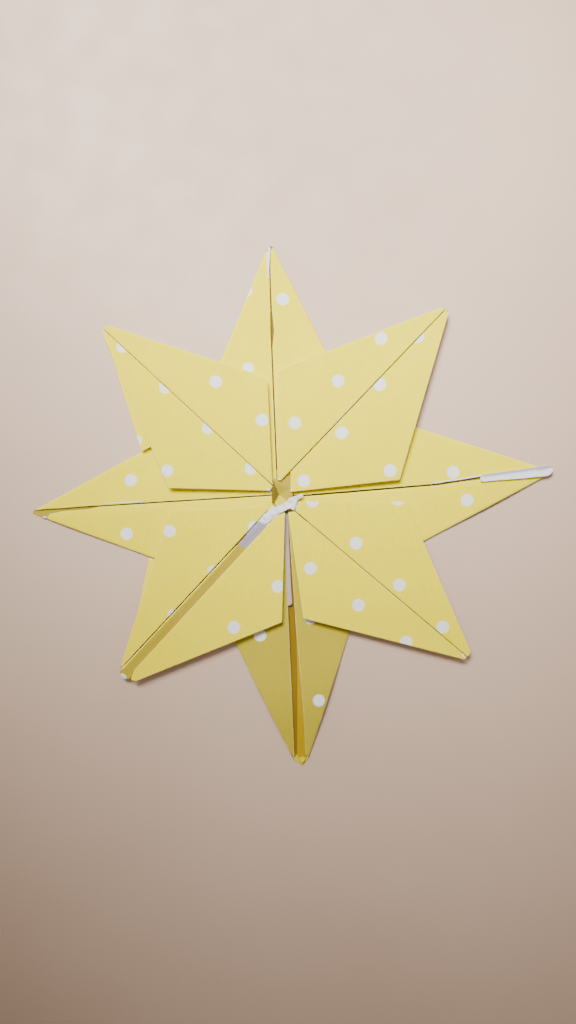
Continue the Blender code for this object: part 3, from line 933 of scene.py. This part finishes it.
def build_sw_pleat():
    """The pleat in the south-west kite's slit: white, then the printed band, then yellow painted gold
    as shade, with painted deep shade on its north-west side and a painted highlight along its fold.
    """
    inner, outer, half_width = np.array(SW_PLEAT[0]), np.array(SW_PLEAT[1]), SW_PLEAT[2]
    length = np.linalg.norm(outer - inner)
    along = (outer - inner) / length
    left = np.array([-along[1], along[0]])
    corners = [(0, half_width), (0, -half_width)]
    corners += [(length + past, side) for past, side in SW_END]
    outline = anticlockwise([inner + along * run + left * side for run, side in corners])

    def fold_side(run):
        return np.interp(run, (0, length), SW_FOLD)

    def from_fold(flat):
        return (flat - inner) @ left - fold_side((flat - inner) @ along)

    def top(flat, depth):
        beyond = from_fold(flat)
        drop = np.where(beyond > 0, *SW_SLOPES) * beyond
        height, wave_length = SW_WAVE
        wave = height * np.sin((flat - inner) @ along / wave_length)
        return np.clip(SW_FOLD_Z - drop + wave, *SW_Z)

    def over(flat):
        side, run = (flat - inner) @ left, (flat - inner) @ along
        slanted = run + SW_BAND_SLANT * side
        bands = np.where(slanted < SW_WHITE_TO, 2, np.where(slanted < SW_GREY_TO, 1, 0))
        # painted deep shade on the pleat's north-west side
        dark_from, dark_to, past_fold = SW_PAINTED_SHADE
        dark = (run > dark_from) & (run < dark_to) & (from_fold(flat) < past_fold)
        raw_end = (run > SW_RAW_FROM) & (np.abs(side) < SW_RAW_HALF_WIDTH)
        return np.where(raw_end, 2, np.where(dark, 3, bands))

    item = build_panel("sw_inner_pleat_paper", outline, top, one_sheet, SHEET / 2,
                       PLAIN_LATTICE, [PAINTED_PLEAT_SHADE, BAND, REVERSE, PAINTED_DEEP_SHADE],
                       under=over, over=over, spacing=0.6, step=0.6)
    finish_piece(item, "star_base", "printed_band", "sw_inner_pleat")

    # a strip painted as the highlight along the pleat's fold
    first, last = SW_GREY_TO + SW_HIGHLIGHT_INSET[0], length - SW_HIGHLIGHT_INSET[1]
    path = [(*(inner + along * run + left * fold_side(run)), SW_HIGHLIGHT_WIDTH)
            for run in np.linspace(first, last, SW_HIGHLIGHT_POINTS)]
    fold = build_panel("sw_pleat_painted_highlight", widened(path),
                       lambda flat, depth: top(flat, depth) + SW_HIGHLIGHT_LIFT, one_sheet,
                       SHEET / 2, PLAIN_LATTICE, [PAINTED_FOLD_HIGHLIGHT], spacing=0.5, step=0.6)
    finish_piece(fold, "star_base", "dotted_paper")


def build_south_pleat():
    """The inner layer in the slit of the south point, its white reverse painted pinkish grey as shade,
    bowed up along its middle.
    """
    path = np.array(SOUTH_PLEAT)

    def top(flat, depth):
        return SOUTH_PLEAT_Z - SOUTH_PLEAT_CURVE * chain_distance(flat, path) ** 2

    item = build_panel("south_inner_pleat_paper",
                       widened([(x, y, SOUTH_PLEAT_WIDTH) for x, y in path]), top, one_sheet,
                       SHEET / 2, PLAIN_LATTICE, [PAINTED_SHADE_REVERSE], spacing=0.7, step=0.7)
    finish_piece(item, "star_base", "printed_band", "south_inner_pleat")


def build_south_facet():
    """The inner side of the south point's east half, seen along the slit, painted golden as shade,
    and painted lighter as lit at the tip's cup.
    """
    start, end = (np.array(corner) for corner in SOUTH_FACET_LINE)
    low, high = SOUTH_FACET_Z
    cup_from, cup_to, turn_up = SOUTH_CUP_RIM

    def top(flat, depth):
        across = np.clip(line_distance(flat, start, end), 0, None)
        rim = turn_up * smooth(-flat[:, 1], -cup_from, -cup_to)
        return np.minimum(low + SOUTH_FACET_SLOPE * across, high) + bow(flat, "south") + rim

    def over(flat):
        slanted = flat[:, 1] + SOUTH_CUP_SLANT * np.abs(flat[:, 0])
        return (slanted < SOUTH_CUP_FROM).astype(int)

    item = build_panel("south_slit_facet", anticlockwise(SOUTH_FACET), top, one_sheet,
                       SHEET / 2, PLAIN_LATTICE, [PAINTED_FACET_SHADE, PAINTED_LIT_YELLOW], over=over,
                       spacing=0.5, step=0.5)
    finish_piece(item, "star_base", "dotted_paper")


def build_east_curl():
    """The rolled white edge at the end of the east point: two facets with a valley between, and
    painted shade on the strip beside it.
    """
    start, end = (np.array(corner) for corner in EAST_VALLEY)

    def top(flat, depth):
        across = line_distance(flat, start, end)
        return EAST_CURL_Z + np.where(across > 0, *EAST_SLOPES) * across + bow(flat, "east")

    def over(flat):
        across = line_distance(flat, start, end)
        return ((across > 0) & (across < EAST_SHADE_WIDTH)).astype(int)

    item = build_panel("east_tip_curl_paper", anticlockwise(EAST_CURL), top, one_sheet,
                       SHEET / 2, PLAIN_LATTICE, [REVERSE, PAINTED_VALLEY_SHADE], over=over,
                       spacing=0.4, step=0.5)
    finish_piece(item, "star_base", "white_paper", "east_tip_curl")


def build_kite_tip(corner, outline):
    """The folded end of a kite, seen between the tips of its two flaps, painted golden as shade."""
    item = build_panel(corner + "_tip_fold", anticlockwise(outline),
                       lambda flat, depth: KITE_TIP_Z, lambda flat, depth: KITE_TIP_THICKNESS,
                       KITE_TIP_THICKNESS / 2, PLAIN_LATTICE, [PAINTED_GOLD_SHADE],
                       spacing=0.6, step=0.5)
    finish_piece(item, "star_base", "dotted_paper")


# ---------------------------------------------------------------- stage

def build_floor():
    """A plain table top, just below the star."""
    mesh = bpy.data.meshes.new("table_top")
    reach = TABLE_REACH
    mesh.from_pydata([(-reach, -reach, 0), (reach, -reach, 0), (reach, reach, 0),
                      (-reach, reach, 0)], [], [(0, 1, 2, 3)])
    mesh.materials.append(table_finish())
    floor = bpy.data.objects.new("table_top", mesh)
    floor.location.z = -TABLE_DROP
    bpy.context.scene.collection.objects.link(floor)


def build_camera():
    """A camera that looks straight down."""
    data = bpy.data.cameras.new("camera")
    data.lens = FOCAL
    data.sensor_width = SENSOR
    data.clip_start = NEAREST_SEEN
    camera = bpy.data.objects.new("camera", data)
    camera.location = Vector(CAMERA_AT) * MM
    camera.rotation_euler = (0, 0, -math.radians(CAMERA_TURN))
    bpy.context.scene.collection.objects.link(camera)
    bpy.context.scene.camera = camera


def build_lights():
    """A soft spot beyond the star's north point, and a dim warm surround."""
    data = bpy.data.lights.new("soft_spot", "SPOT")
    data.spot_size = math.radians(LAMP_CONE)
    data.spot_blend = LAMP_BLEND
    data.shadow_soft_size = LAMP_RADIUS
    data.energy = LAMP_POWER
    data.color = LAMP_COLOUR
    light = bpy.data.objects.new("soft_spot", data)
    light.location = LAMP_AT
    light.rotation_euler = (Vector(LAMP_AIM) - light.location).to_track_quat("-Z", "Y").to_euler()
    bpy.context.scene.collection.objects.link(light)
    world = bpy.data.worlds.new("studio")
    world.use_nodes = True
    background = world.node_tree.nodes["Background"]
    background.inputs["Color"].default_value = WORLD_COLOUR
    background.inputs["Strength"].default_value = WORLD_LIGHT
    bpy.context.scene.world = world


build_camera()
build_lights()
build_floor()
for point, sides in SIDES.items():
    build_point_back(point)
    for side in sides:
        build_half(point, side)
for corner in KITES:
    build_kite_back(corner + "_back")
for joint in frame["joints"]:
    build_flap(joint)
for name, (half, path) in RAW_EDGES.items():
    build_raw_edge(name, half, path)
build_centre_back()
build_well()
build_fringe()
build_sw_pleat()
build_south_pleat()
build_south_facet()
build_east_curl()
for corner, outline in KITE_TIPS.items():
    build_kite_tip(corner, outline)
